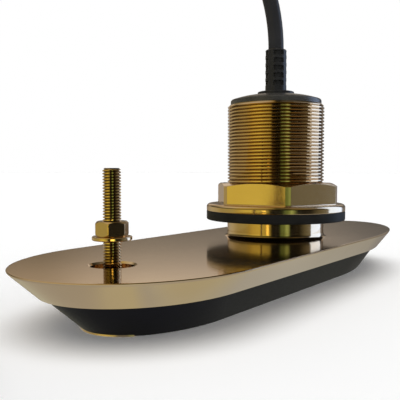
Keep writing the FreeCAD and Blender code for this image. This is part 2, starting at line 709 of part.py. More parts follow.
def element_places():
    """Nose to tail: low-band tiles, then high-band tiles, centred as a row in the pocket."""
    half_width = pocket_plan[2]
    sizes = [("element_low", LOW_LENGTH, 2 * (half_width - LOW_MARGIN))] * LOW_COUNT
    sizes += [("element_high", HIGH_LENGTH, 2 * (half_width - HIGH_MARGIN))] * HIGH_COUNT
    total = sum(length for _, length, _ in sizes) + ELEMENT_GAP * (len(sizes) - 1)
    x = (pocket_plan[0] + pocket_plan[1]) / 2 - total / 2
    places = []
    for number, (name, length, width) in enumerate(sizes):
        count = number + 1 if number < LOW_COUNT else number + 1 - LOW_COUNT
        places.append((f"{name}_{count}", x, length, width))
        x += length + ELEMENT_GAP
    return places


def make_element(x, length, width):
    return Part.makeBox(length, width, ELEMENT_THICKNESS, V(x, -width / 2, element_z))


def lead_hole():
    return cylinder(STEM_X, LEAD_RADIUS + FIT, element_z, stem_top_z)


def make_backing():
    """Cork sheet that lies on the elements and fills the pocket's outline."""
    sheet = prism(inset(pocket_plan, FIT), backing_z, resin_z)
    return sheet.cut(lead_hole())


def make_resin():
    """Resin over the backing and up the stem, to the terminal board."""
    slab = prism(inset(pocket_plan, FIT), resin_z, tongue_z - FIT)
    column = cylinder(STEM_X, STEM_BORE_RADIUS - FIT, tongue_z - FIT, board_z)
    return slab.fuse(column).removeSplitter().cut(lead_hole())


def make_leads():
    return cylinder(STEM_X, LEAD_RADIUS, backing_z, board_z)


def make_board():
    return cylinder(STEM_X, BOARD_RADIUS, board_z, board_z + BOARD_THICKNESS)


def make_probe():
    low_z = tongue_z - PROBE_LENGTH
    return cylinder(probe_x, PROBE_RADIUS, low_z, tongue_z - FIT)


def all_parts():
    parts = {
        "housing": make_housing(),
        "acoustic_body": make_acoustic_body(),
        "nose_shoe": make_shoe(),
        "hull_nut": make_hull_nut(),
        "hull_gasket": make_gasket(),
        "rotation_stud": make_stud(),
        "stud_washer": make_stud_washer(),
        "stud_nut": make_stud_nut(),
        "stem_cap": make_cap(),
        "cap_seal": make_seal(),
        "strain_relief": make_strain_relief(),
        "inner_cable": make_inner_cable(),
        "cable": tube(cable_points(), "cable"),
        "cable_coil": make_coil(),
        "cable_tail": tube(tail_points(), "cable_tail"),
        "plug_boot": make_plug_boot(),
        "plug_shell": make_plug_shell(),
        "plug_collar": make_plug_collar(),
        "plug_insert": make_plug_insert(),
        "plug_pins": make_plug_pins(),
        "backing_sheet": make_backing(),
        "resin_fill": make_resin(),
        "lead_bundle": make_leads(),
        "terminal_board": make_board(),
        "temperature_probe": make_probe(),
    }
    for name, x, length, width in element_places():
        parts[name] = make_element(x, length, width)
    return parts


os.makedirs("parts", exist_ok=True)
for node, shape in all_parts().items():
    print(node, "valid", shape.isValid(), "solids", len(shape.Solids), "volume", round(shape.Volume, 1))
    shape.exportStep(f"parts/{node}.step")
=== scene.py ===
# %% [markdown]
# A bronze hull transducer: what this notebook builds
#
# The object is a low sonar transducer for a ship: a long oval bronze plate with a threaded stem,
# on a black cast body. Its solids come from a CAD file and stay where they are. This notebook gives
# them their looks: threads, polished edges, finishes, the cable, a floor, lamps and a camera.
# Everything is in metres, X runs along the plate and Z is up.

# %% Load the fixed frame
import json
import math

import bmesh
import bpy
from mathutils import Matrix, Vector


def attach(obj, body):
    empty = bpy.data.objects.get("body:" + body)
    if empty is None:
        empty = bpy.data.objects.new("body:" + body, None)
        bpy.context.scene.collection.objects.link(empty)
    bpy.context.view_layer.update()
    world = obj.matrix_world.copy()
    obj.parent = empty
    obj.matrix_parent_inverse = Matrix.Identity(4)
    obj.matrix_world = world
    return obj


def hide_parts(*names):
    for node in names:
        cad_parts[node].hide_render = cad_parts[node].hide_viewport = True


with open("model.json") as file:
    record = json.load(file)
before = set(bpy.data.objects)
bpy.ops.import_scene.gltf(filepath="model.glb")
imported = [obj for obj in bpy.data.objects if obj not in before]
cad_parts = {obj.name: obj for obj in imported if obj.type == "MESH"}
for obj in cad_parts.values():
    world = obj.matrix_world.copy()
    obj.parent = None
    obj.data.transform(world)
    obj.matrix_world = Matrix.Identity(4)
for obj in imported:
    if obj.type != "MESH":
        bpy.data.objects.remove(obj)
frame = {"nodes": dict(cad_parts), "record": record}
bpy.context.view_layer.update()
scene = bpy.context.scene
MM = 0.001

# %% [markdown]
# The camera
#
# The photograph was taken from beside the blunt nose, only some 41 mm above the plate, so the
# horizon passes through the stem's thread. The place, height and tilt were fitted to the plate's
# edges. A 54 mm lens on a 36 mm sensor gives the picture's angle.

# %% Camera
VIEW_FROM = Vector((-303.2, -180.9, 69.06)) * MM
VIEW_TURN_DEG, VIEW_DOWN_DEG = 35.63, 2.879
SENSOR_MM, LENS_MM = 36, 53.82
NEAREST, FARTHEST = 0.01, 50

turn, down = math.radians(VIEW_TURN_DEG), math.radians(VIEW_DOWN_DEG)
forward = Vector((math.cos(turn) * math.cos(down), math.sin(turn) * math.cos(down), -math.sin(down)))
camera = bpy.data.objects.new("camera", bpy.data.cameras.new("camera"))
camera.data.sensor_width = SENSOR_MM
camera.data.lens = LENS_MM
camera.data.clip_start, camera.data.clip_end = NEAREST, FARTHEST
camera.location = VIEW_FROM
camera.rotation_mode = "QUATERNION"
camera.rotation_quaternion = forward.to_track_quat("-Z", "Y")
scene.collection.objects.link(camera)
scene.camera = camera
print("camera looks along", [round(c, 3) for c in forward])

# %% [markdown]
# The cable's route
#
# Six metres of 9.5 mm cable leave the strain relief, arch over to the left outside the view and are
# wound into a long, flat coil of four layers of three turns. One smooth NURBS curve carries all of it:
# the free part repeats the CAD route, and a loop places the turns. Each turn has two straight sides
# and two rounded ends. A curve of order 3 cuts inside its control points, so the points of the
# rounded ends stand a little further out than the turn itself.

# %% Sizes of the cable and its coil
CABLE_RADIUS = 4.75
COIL_X, COIL_Y, COIL_STRAIGHT = -250.0, 12.0, 118.0
COIL_MEAN_RADIUS = 30.5
COLUMNS, LAYERS = 3, 4
END_STEP_DEG = 30.0
SIDE_SHARES = (0.1, 0.3, 0.5, 0.7, 0.9)
BACK_SHARES = (0.1, 0.5, 0.9)
LAST_PLAY = 0.3             # the last turn lies on the floor, this far clear of the one beside it
SQUEEZE = 3.2               # a turn that steps down a layer bulges past its neighbour
CABLE_ROUTE = [(30.5, 0, 143.6), (30.5, 0, 160), (23.1, 5.2, 190), (1, 19, 226), (-42, 38, 246),
               (-96, 49, 241), (-139, 52, 214), (-157, 52, 176)]
CABLE_LANDING = [(86, 100.75), (82, 60.75), (72, 28.75), (52, 8.75), (26, 0)]
TAIL_RUNS = [(0, 0, 0), (14, 0, 0), (32, 3.5, 4.5), (48, 7.75, 9.5), (62, 7.75, 9.5)]
far_x = COIL_X - COIL_STRAIGHT
print("coil of", COLUMNS * LAYERS, "turns from x", far_x, "to", COIL_X)


# %% Control points of the coil's turns
def rounded_end(centre_x, radius, z, start_deg):
    """Control points of half a turn round one end of the coil."""
    half = math.radians(END_STEP_DEG / 2)
    steps = round(180 / END_STEP_DEG)
    angles = [math.radians(start_deg + END_STEP_DEG * (k + 0.5)) for k in range(steps)]
    reach = radius / math.cos(half)
    return [Vector((centre_x + reach * math.cos(a), COIL_Y + reach * math.sin(a), z)) for a in angles]


def turn_places():
    """Radius and height of each turn, from the top layer's outside to the floor."""
    places = []
    for layer in range(LAYERS):
        columns = range(COLUMNS) if layer % 2 else reversed(range(COLUMNS))
        z = 2 * CABLE_RADIUS * (LAYERS - 0.5 - layer)
        places += [(COIL_MEAN_RADIUS + (c - 1) * 2 * CABLE_RADIUS, z) for c in columns]
    return places + [(COIL_MEAN_RADIUS + 4 * CABLE_RADIUS + LAST_PLAY, CABLE_RADIUS)]


def coil_points():
    """Control points of the whole coil; each turn moves to its place on its first straight side."""
    points = []
    places = turn_places()
    before_radius, before_z = places[0]
    for number, (radius, z) in enumerate(places):
        for share in SIDE_SHARES:
            moved = (share - SIDE_SHARES[0]) / (SIDE_SHARES[-1] - SIDE_SHARES[0])
            bulge = 0
            if before_z != z:
                bulge = math.copysign(SQUEEZE, radius - COIL_MEAN_RADIUS) * math.sin(math.pi * moved)
            here = before_radius + (radius - before_radius) * moved + bulge
            height = before_z + (z - before_z) * moved
            points.append(Vector((COIL_X - COIL_STRAIGHT * share, COIL_Y + here, height)))
        points += rounded_end(far_x, radius, z, 90)
        if number < len(places) - 1:
            points += [Vector((far_x + COIL_STRAIGHT * s, COIL_Y - radius, z)) for s in BACK_SHARES]
            points += rounded_end(COIL_X, radius, z, -90)
        before_radius, before_z = radius, z
    return points


top_radius, top_z = turn_places()[0]
tail_y = COIL_Y - turn_places()[-1][0]
landing = [Vector((COIL_X + back, COIL_Y + top_radius, top_z + rise)) for back, rise in CABLE_LANDING]
tail = [Vector((far_x + along, tail_y - out, CABLE_RADIUS + rise)) for along, rise, out in TAIL_RUNS]
cable_points = [Vector(p) for p in CABLE_ROUTE] + landing + coil_points() + tail
print("cable has", len(cable_points), "control points")

# %% Cable curve
curve = bpy.data.curves.new("cable_jacket_run", "CURVE")
curve.dimensions = "3D"
spline = curve.splines.new("NURBS")
spline.points.add(len(cable_points) - 1)
for control, place in zip(spline.points, cable_points):
    control.co = (*(place * MM), 1)
spline.order_u = 3
spline.use_endpoint_u = True
curve.resolution_u = 6
bare = bpy.data.meshes.new_from_object(bpy.data.objects.new("cable_bare", curve))
line = [v.co.copy() for v in bare.vertices]
bpy.data.objects.remove(bpy.data.objects["cable_bare"])
curve.bevel_depth = CABLE_RADIUS * MM
curve.bevel_resolution = 6
curve.use_fill_caps = True
cable = bpy.data.objects.new("cable_run", curve)
scene.collection.objects.link(cable)
print("cable length", round(sum((b - a).length for a, b in zip(line, line[1:])), 3), "m")


# %% [markdown]
# Colours and nodes
#
# Colours are written as sRGB hex values, as a paint chart gives them, and one function turns them
# into the linear values that a renderer adds up. One more small function adds a node, sets it, fills
# or links its inputs and gives a colour ramp its stops, for materials and for Geometry Nodes alike.

# %% Helpers for colours and nodes
def colour(hex_value):
    """Linear RGBA of an sRGB hex value."""
    parts = [int(hex_value[i:i + 2], 16) / 255 for i in (1, 3, 5)]
    return (*[c / 12.92 if c <= 0.04045 else ((c + 0.055) / 1.055) ** 2.4 for c in parts], 1)


def node(tree, kind, inputs=None, stops=(), **settings):
    """Adds a node with its settings, links and stops; a stop is (position, linear colour or grey)."""
    made = tree.nodes.new(kind)
    for name, value in settings.items():
        setattr(made, name, value)
    for key, value in (inputs or {}).items():
        if isinstance(value, bpy.types.NodeSocket):
            tree.links.new(value, made.inputs[key])
        else:
            made.inputs[key].default_value = value
    if stops:
        elements = made.color_ramp.elements
        while len(elements) < len(stops):
            elements.new(0.5)
        for element, (position, tone) in zip(elements, stops):
            element.position = position
            element.color = (tone, tone, tone, 1) if isinstance(tone, (int, float)) else tone
    return made


print("bronze in linear light", [round(c, 3) for c in colour("#E4CBAA")])

# %% [markdown]
# Finishes with a grain
#
# Most of the pieces are cast, moulded, turned or polished. What gives them away is small: a slow
# change of tone, a change of gloss, and a fine surface relief. An image could carry that, but a noise
# in the object's own millimetres fits every piece and never stretches. Real polishing marks are some
# hundredths of a millimetre wide and would not show at this size, so the grains are drawn about a
# millimetre wide. Rounded shading on the edges stands for the tiny radius that every made edge has,
# and a thread's roots get painted shade: their tone is darkened by their distance from the axis.

# %% One function for grained finishes
CLOUD_GRAINS = 14           # the slow change of tone is this many grains wide
CLOUD_LOW, CLOUD_HIGH = 0.35, 0.65      # the noise's values that give the two tones in full
GRAIN_LOW, GRAIN_HIGH = 0.3, 0.7        # and those that give the ends of the range of roughness
EDGE_SAMPLES = 6


def grained(name, tones, grain_mm, roughness, relief_mm, edge_mm=0.0, detail=3.0, groove=(), **shader):
    """A finish from two tones, a grain, a range of roughness, a relief and perhaps painted shade in a
    thread's roots.
    """
    material = bpy.data.materials.new(name)
    material.use_nodes = True
    tree = material.node_tree
    tree.nodes.clear()
    place = node(tree, "ShaderNodeTexCoord").outputs["Object"]
    fine, wide = 1 / (grain_mm * MM), 1 / (grain_mm * CLOUD_GRAINS * MM)
    grain = node(tree, "ShaderNodeTexNoise",
                 {"Vector": place, "Scale": fine, "Detail": detail}).outputs["Fac"]
    cloud = node(tree, "ShaderNodeTexNoise",
                 {"Vector": place, "Scale": wide, "Detail": 2.0}).outputs["Fac"]
    both = [(CLOUD_LOW, colour(tones[0])), (CLOUD_HIGH, colour(tones[1]))]
    tone = node(tree, "ShaderNodeValToRGB", {0: cloud}, both).outputs[0]
    # Painted shade in a thread's roots: the tone darkens from the crest radius in to the root radius, down to
    # the given share.
    if groove:
        centre_x, root, crest, dark = groove
        axis = (centre_x * MM, 0, 0)
        spread = node(tree, "ShaderNodeVectorMath", {0: place, 1: axis}, operation="SUBTRACT")
        level = node(tree, "ShaderNodeVectorMath", {0: spread.outputs[0], 1: (1, 1, 0)}, operation="MULTIPLY")
        reach = node(tree, "ShaderNodeVectorMath", {0: level.outputs[0]}, operation="LENGTH")
        painted_root_shade = node(tree, "ShaderNodeMapRange", {"Value": reach.outputs["Value"], "From Min": root * MM,
                                                  "From Max": crest * MM, "To Min": dark, "To Max": 1.0})
        shaded = node(tree, "ShaderNodeVectorMath", {0: tone, "Scale": painted_root_shade.outputs[0]}, operation="SCALE")
        tone = shaded.outputs[0]
    gloss = node(tree, "ShaderNodeMapRange", {"Value": grain, "From Min": GRAIN_LOW, "From Max": GRAIN_HIGH,
                                              "To Min": roughness[0], "To Max": roughness[1]})
    relief = {"Height": grain, "Strength": 0.5, "Distance": relief_mm * MM}
    if edge_mm:
        edge = node(tree, "ShaderNodeBevel", {"Radius": edge_mm * MM}, samples=EDGE_SAMPLES)
        relief["Normal"] = edge.outputs[0]
    bump = node(tree, "ShaderNodeBump", relief)
    inputs = {"Base Color": tone, "Roughness": gloss.outputs[0], "Normal": bump.outputs[0], **shader}
    surface = node(tree, "ShaderNodeBsdfPrincipled", inputs)
    node(tree, "ShaderNodeOutputMaterial", {"Surface": surface.outputs[0]})
    return material


print("a tone of the bronze drifts over", CLOUD_GRAINS, "grains")

# %% The bronzes
# Cast bronze, ground and polished: nearly a mirror, with a slow drift of tone from the casting.
polished_bronze = grained("polished_bronze", ("#E2C9A7", "#E7CEAD"), 2.5, (0.085, 0.12), 0.002, Metallic=1.0)
# Bronze bar, turned and milled: a little duller, with a fine round on each edge that catches light.
nut_bronze = grained("nut_bronze", ("#E2C9A7", "#E7CEAD"), 1.5, (0.1, 0.15), 0.003, edge_mm=0.25,
                     Metallic=1.0)
# Cut threads: bright crests, and roots painted darker between these radii in mm, down to a share, as painted
# shade.
STEM_X, STUD_X = 30.5, -116.0
threaded_bronze_shaded_roots = grained("threaded_bronze_shaded_roots", ("#E6CDAB", "#EBD2B1"), 1.8, (0.05, 0.1), 0.015,
                          groove=(STEM_X, 28.7, 29.5, 0.6), Metallic=1.0)
stud_bronze_shaded_roots = grained("stud_bronze_shaded_roots", ("#DCC19A", "#E2C8A2"), 1.2, (0.05, 0.1), 0.008,
                      groove=(STUD_X, 3.1, 3.7, 0.26), Metallic=1.0)
print("bronzes:", [m.name for m in (polished_bronze, nut_bronze, threaded_bronze_shaded_roots, stud_bronze_shaded_roots)])

# %% The blacks
# Polyurethane, cast in a mould: deep black and even, with a shine only where it is seen at a slant.
cast_urethane = grained("cast_urethane", ("#101019", "#12121B"), 0.8, (0.3, 0.4), 0.015,
                        **{"Specular IOR Level": 0.027})
# Moulded rubber: matt black, soft on its edges.
gasket_rubber = grained("gasket_rubber", ("#1E1E1D", "#232322"), 0.6, (0.42, 0.55), 0.03, edge_mm=0.35,
                        **{"Specular IOR Level": 0.07})
# Moulded nylon of the strain relief and the plug: fine satin with soft glints on the ribs.
moulded_black = grained("moulded_black", ("#232324", "#29292A"), 0.5, (0.28, 0.38), 0.02, edge_mm=0.3,
                        **{"Specular IOR Level": 0.22})
# Extruded polyurethane jacket: smooth satin, with one soft light along it.
cable_jacket = grained("cable_jacket", ("#29292B", "#2E2E30"), 0.7, (0.28, 0.36), 0.015,
                       **{"Specular IOR Level": 0.12})
# The stem's moulded cap: its colour is painted greyer than the rest, as painted light for its top, which
# faces the light.
cap_black_painted_light = grained("cap_black_painted_light", ("#343331", "#3B3A38"), 0.5, (0.28, 0.36), 0.01, edge_mm=0.3,
                    **{"Specular IOR Level": 0.5})
print("blacks:", [m.name for m in (cast_urethane, gasket_rubber, moulded_black, cable_jacket, cap_black_painted_light)])

# %% The inner finishes, and a finish for each CAD node
# Gold-plated contacts, drawn steel, fired ceramic, granular cork, cast resin and green laminate.
contact_gold = grained("contact_gold", ("#D9B45B", "#E2BF69"), 0.4, (0.15, 0.25), 0.002, Metallic=1.0)
probe_steel = grained("probe_steel", ("#B9BBBD", "#C6C8CA"), 0.3, (0.2, 0.35), 0.004, Metallic=1.0)
tile_ceramic = grained("tile_ceramic", ("#CFC7B4", "#DAD2C0"), 0.3, (0.55, 0.7), 0.02)
cork_board = grained("cork_board", ("#8A6238", "#B98C57"), 1.1, (0.8, 0.95), 0.15, detail=6.0)
cast_resin = grained("cast_resin", ("#2A2622", "#38332C"), 3.0, (0.15, 0.3), 0.03)
board_laminate = grained("board_laminate", ("#1F5A33", "#276B3E"), 0.5, (0.35, 0.5), 0.01)

FINISH = {
    "bronze": polished_bronze, "black_urethane": cast_urethane, "black_rubber": gasket_rubber,
    "black_plastic": moulded_black, "cable_jacket": cable_jacket, "steel": probe_steel,
    "piezo": tile_ceramic, "cork": cork_board, "resin": cast_resin, "board": board_laminate,
    "contact": contact_gold,
}
for row in frame["record"]["subparts"]:
    part = frame["nodes"][row["node"]]
    for index in range(len(part.data.materials)):
        part.data.materials[index] = FINISH[row["material_slot"]]
# The cap takes the black that is painted greyer, as painted light on its top.
frame["nodes"]["stem_cap"].data.materials[0] = cap_black_painted_light

# %% [markdown]
# The thread, as a rule
#
# A screw thread is one profile wound round a cylinder. A Screw modifier could wind it, but its ends
# would stand open. Geometry Nodes make it here from a flat grid: the columns go round, the rows climb
# by an eighth of the pitch, and each point's radius depends only on its row, so that crests and roots
# run along the grid. The flat is the crest's share of the pitch, and the flank the share in which the
# thread falls to its root. The rows are cut off level at both ends, and a cone at each end takes the
# crests down, as a lathe does. The same tree makes the stem's M60 x 2 thread and the stud's M8 thread.

# %% The thread's rule, one small sum in each line
ROWS_PER_PITCH = 8
THREAD_RULE = [
    # Which column and row of the grid a point is in; the grid runs from -0.5 to 0.5.
    ("around", "ADD", "Columns", 1),
    ("share", "ADD", "Across", 0.5),
    ("up", "ADD", "Along", 0.5),
    ("last row", "SUBTRACT", "Rows", 1),
    ("row place", "MULTIPLY", "up", "last row"),
    ("row", "ROUND", "row place"),
    # How deep the groove is at that row.
    ("pitches", "DIVIDE", "row", ROWS_PER_PITCH),
    ("nudged", "ADD", "pitches", 1e-4),
    ("phase", "FRACT", "nudged"),
    ("past crest", "SUBTRACT", "phase", "Flat"),
    ("falling", "DIVIDE", "past crest", "Flank"),
    ("to next crest", "SUBTRACT", 1.0, "phase"),
    ("rising", "DIVIDE", "to next crest", "Flank"),
    ("lesser", "MINIMUM", "falling", "rising"),
    ("at most 1", "MINIMUM", "lesser", 1.0),
    ("cut", "MAXIMUM", "at most 1", 0.0),
    # How high the point stands, cut off at the ends.
    ("turns", "ADD", "pitches", "share"),
    ("turns up", "SUBTRACT", "turns", 1.0),
    ("climb", "MULTIPLY", "Pitch", "turns up"),
    ("free height", "ADD", "Low", "climb"),
    ("over low", "MAXIMUM", "free height", "Low"),
    ("height", "MINIMUM", "over low", "High"),
    # The cones at the ends.
    ("high cone", "SUBTRACT", "High", "End Cone"),
    ("from high", "SUBTRACT", "height", "high cone"),
    ("low cone", "ADD", "Low", "End Cone"),
    ("from low", "SUBTRACT", "low cone", "height"),
    ("either cone", "MAXIMUM", "from high", "from low"),
    ("cone", "MAXIMUM", "either cone", 0.0),
    # The radius, and the point on it.
    ("groove", "MULTIPLY", "cut", "Depth"),
    ("sunk", "MAXIMUM", "groove", "cone"),
    ("radius", "SUBTRACT", "Crest Radius", "sunk"),
    ("angle", "MULTIPLY", "share", 2 * math.pi),
    ("cosine", "COSINE", "angle"),
    ("sine", "SINE", "angle"),
    ("out x", "MULTIPLY", "radius", "cosine"),
    ("x", "ADD", "Centre X", "out x"),
    ("y", "MULTIPLY", "radius", "sine"),
]
print("the thread's rule has", len(THREAD_RULE), "steps")


# %% Geometry Nodes tree of a thread
def thread_tree():
    tree = bpy.data.node_groups.new("thread", "GeometryNodeTree")
    sizes = ("Centre X", "Crest Radius", "Depth", "Pitch", "Low", "High", "End Cone", "Flat", "Flank")
    sockets = [(name, "NodeSocketFloat") for name in sizes]
    sockets += [("Columns", "NodeSocketInt"), ("Rows", "NodeSocketInt"), ("Finish", "NodeSocketMaterial")]
    for name, kind in sockets:
        tree.interface.new_socket(name, in_out="INPUT", socket_type=kind)
    tree.interface.new_socket("Geometry", in_out="OUTPUT", socket_type="NodeSocketGeometry")
    known = {socket.name: socket for socket in node(tree, "NodeGroupInput").outputs}
    position = node(tree, "GeometryNodeInputPosition").outputs[0]
    spot = node(tree, "ShaderNodeSeparateXYZ", {0: position}).outputs
    known.update({"Across": spot["X"], "Along": spot["Y"]})
    for name, operation, *values in THREAD_RULE:
        terms = [known[value] if isinstance(value, str) else value for value in values]
        known[name] = node(tree, "ShaderNodeMath", dict(enumerate(terms)), operation=operation).outputs[0]
    grid = node(tree, "GeometryNodeMeshGrid", {"Size X": 1.0, "Size Y": 1.0, "Vertices X": known["around"],
                                               "Vertices Y": known["Rows"]}).outputs["Mesh"]
    place = node(tree, "ShaderNodeCombineXYZ", {0: known["x"], 1: known["y"], 2: known["height"]}).outputs[0]
    shape = node(tree, "GeometryNodeSetPosition", {"Geometry": grid, "Position": place}).outputs[0]
    shape = node(tree, "GeometryNodeMergeByDistance", {"Geometry": shape, "Distance": 2e-6}).outputs[0]
    shape = node(tree, "GeometryNodeSetShadeSmooth", {"Geometry": shape}).outputs[0]
    shape = node(tree, "GeometryNodeRealizeInstances", {"Geometry": shape}).outputs[0]
    shape = node(tree, "GeometryNodeSetMaterial", {"Geometry": shape, "Material": known["Finish"]}).outputs[0]
    node(tree, "NodeGroupOutput", {"Geometry": shape})
    return tree


THREAD = thread_tree()
print("thread tree has", len(THREAD.nodes), "nodes")


# %% A thread as a plain mesh
def made_by(tree, name, **inputs):
    """Runs a tree on an empty mesh and gives back the result as a plain mesh."""
    carrier = bpy.data.objects.new(name, bpy.data.meshes.new(name))
    scene.collection.objects.link(carrier)
    modifier = carrier.modifiers.new("rule", "NODES")
    modifier.node_group = tree
    sockets = {s.name: s.identifier for s in tree.interface.items_tree if s.in_out == "INPUT"}
    for key, value in inputs.items():
        modifier[sockets[key.replace("_", " ")]] = value
    view = bpy.context.evaluated_depsgraph_get()
    mesh = bpy.data.meshes.new_from_object(carrier.evaluated_get(view), depsgraph=view)
    carrier.modifiers.remove(modifier)
    bpy.data.objects.remove(carrier)
    mesh.name = name
    return mesh


def thread_mesh(name, low, high, pitch, columns, finish, flat, flank, **sizes):
    rows = ROWS_PER_PITCH * math.ceil((high - low) / pitch + 1) + 1
    metres = {key: value * MM for key, value in sizes.items()}
    return made_by(tree=THREAD, name=name, Low=low * MM, High=high * MM, Pitch=pitch * MM, Columns=columns,
                   Rows=rows, Finish=finish, Flat=flat, Flank=flank, **metres)


print("threads are made with", ROWS_PER_PITCH, "rows to a pitch")


# %% [markdown]
# Rings, skins and fills
#
# The other shapes are surfaces between rings of points: circles for turned pieces, and for the
# plate a closed outline of two half ellipses joined by straight sides. Spinning a profile would do
# for the turned ones alone, so rings serve them all. A skin of faces joins two rings, and a flat face
# with holes is filled between its loops.

# %% Helpers for meshes made of rings
def circle(x, radius, z, columns):
    steps = [2 * math.pi * k / columns for k in range(columns)]
    return [Vector((x + radius * math.cos(a), radius * math.sin(a), z)) for a in steps]


def oval(plan, z, half=96):
    """Outline of two half ellipses; plan is (nose x, tail x, half width, nose axis, tail axis)."""
    nose_x, tail_x, half_width, nose_axis, tail_axis = plan
    points = []
    for centre, axis, start in ((tail_x - tail_axis, tail_axis, -90), (nose_x + nose_axis, nose_axis, 90)):
        for k in range(half + 1):
            angle = math.radians(start + 180 * k / half)
            points.append(Vector((centre + axis * math.cos(angle), half_width * math.sin(angle), z)))
    return points


def rounded(radius, z, size, steps):
    """Profile points of a rounded upper corner at (radius, z); it starts on the upright face."""
    angles = [math.pi / 2 * k / steps for k in range(steps + 1)]
    return [(radius - size * (1 - math.cos(a)), z - size * (1 - math.sin(a))) for a in angles]


def add_ring(mesh, points):
    return [mesh.verts.new(p * MM) for p in points]


def skin(mesh, rings):
    for low, high in zip(rings, rings[1:]):
        count = len(low)
        for k in range(count):
            mesh.faces.new((low[k], low[(k + 1) % count], high[(k + 1) % count], high[k]))


def fill(mesh, loops):
    """One flat face, with the loops after the first as its holes."""
    edges = []
    for loop in loops:
        count = len(loop)
        pairs = [(loop[k], loop[(k + 1) % count]) for k in range(count)]
        edges += [mesh.edges.get(pair) or mesh.edges.new(pair) for pair in pairs]
    bmesh.ops.triangle_fill(mesh, edges=edges, use_beauty=True)


print("an oval of", len(oval((0, 2, 1, 1, 1), 0)), "points")


# %% From a mesh to a finished piece
def as_piece(mesh, name, finishes, node_name, sharp_deg):
    """Closes a bmesh into an object with outward faces that rides on the body, for one CAD node."""
    bmesh.ops.remove_doubles(mesh, verts=mesh.verts, dist=1e-7)
    bmesh.ops.recalc_face_normals(mesh, faces=mesh.faces)
    data = bpy.data.meshes.new(name)
    mesh.to_mesh(data)
    mesh.free()
    for finish in finishes:
        data.materials.append(finish)
    data.shade_smooth()
    data.set_sharp_from_angle(angle=math.radians(sharp_deg))
    piece = bpy.data.objects.new(name, data)
    scene.collection.objects.link(piece)
    weigh = piece.modifiers.new("flat faces lead", "WEIGHTED_NORMAL")
    weigh.keep_sharp = True
    view = bpy.context.evaluated_depsgraph_get()
    piece.data = bpy.data.meshes.new_from_object(piece.evaluated_get(view), depsgraph=view)
    piece.modifiers.clear()
    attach(piece, "root")
    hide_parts(node_name)
    print(name, "faces", len(piece.data.polygons))


# %% [markdown]
# The housing
#
# Deck plate, sloped skirt and stem are one bronze casting, so they are one mesh. Booleans could
# join the pieces, but they leave ragged faces that a mirror finish shows, so every edge is laid one
# by one. The skirt runs straight from the lower outline to the upper one, the plate's rim has a radius
# of 0.8 mm that catches a thin line of light, and the stem stands on a concave foot.

# %% Sizes that the housing shares with the CAD
DECK = (-161.0, 161.0, 55.6, 72.0, 105.0)
SKIRT = (-147.5, 155.0, 44.0, 60.0, 88.0)
TONGUE = (-138.5, 146.0, 35.0, 51.0, 79.0)
BODY_Z, CEILING_Z, DECK_Z = 16.0, 21.0, 28.0
RIM, RIM_STEPS = 0.8, 6
SHANK, PITCH_RADIUS, CREST, BORE = 30.0, 29.35, 29.9, 23.0
FOOT_OUT, FOOT_UP, FOOT_STEPS = 2.0, 3.2, 8
GAP_MIDDLE_Z, GASKET_TOP_Z, NUT_TOP_Z, STEM_TOP_Z = 36.0, 43.8, 61.0, 109.3
STEM_PITCH, STEM_DEPTH, STEM_CONE, STEM_FLAT, STEM_FLANK = 2.0, 1.2, 1.2, 0.25, 0.375
STEM_COLUMNS = 160
THREAD_LOW_Z = NUT_TOP_Z - 2.0
BOSS, RECESS, RECESS_Z, RECESS_CHAMFER = 13.0, 9.9, 23.0, 0.9
STUD_HOLE, STUD_HOLE_Z = 3.65, 18.0
print("plate", DECK[1] - DECK[0], "mm long over its sharp edges")


# %% The skirt and the rounded rim
def rim_outlines():
    """Outlines from the skirt's foot, up the slope and round the rim to the top of the plate."""
    lean = math.atan((DECK[2] - SKIRT[2]) / (DECK_Z - BODY_Z))
    reach = RIM * math.tan((math.pi / 2 + lean) / 2)
    halfway = tuple((low + high) / 2 for low, high in zip(SKIRT, DECK))
    sharp, below = oval(DECK, DECK_Z), oval(SKIRT, BODY_Z)
    outlines = [below, oval(halfway, (BODY_Z + DECK_Z) / 2)]
    for k in range(RIM_STEPS + 1):
        share = k / RIM_STEPS
        outline = []
        for high, low in zip(sharp, below):
            down_slope = (low - high).normalized()
            inward = Vector((low.x - high.x, low.y - high.y, 0)).normalized()
            start, end = high + down_slope * reach, high + inward * reach
            outline.append(start * (1 - share) ** 2 + high * 2 * share * (1 - share) + end * share ** 2)
        outlines.append(outline)
    return outlines


print("skirt and rim have", len(rim_outlines()), "outlines")


# %% Housing mesh
def angle_on_stem(vertex):
    return math.atan2(vertex.co.y, vertex.co.x - STEM_X * MM) % (2 * math.pi - 1e-6)


def boundary_rings(mesh):
    """The two open rims of a thread, low and high, each in order of angle."""
    loose = [v for v in mesh.verts if any(e.is_boundary for e in v.link_edges)]
    middle = sum(v.co.z for v in loose) / len(loose)
    low = sorted([v for v in loose if v.co.z < middle], key=angle_on_stem)
    return low, sorted([v for v in loose if v.co.z > middle], key=angle_on_stem)


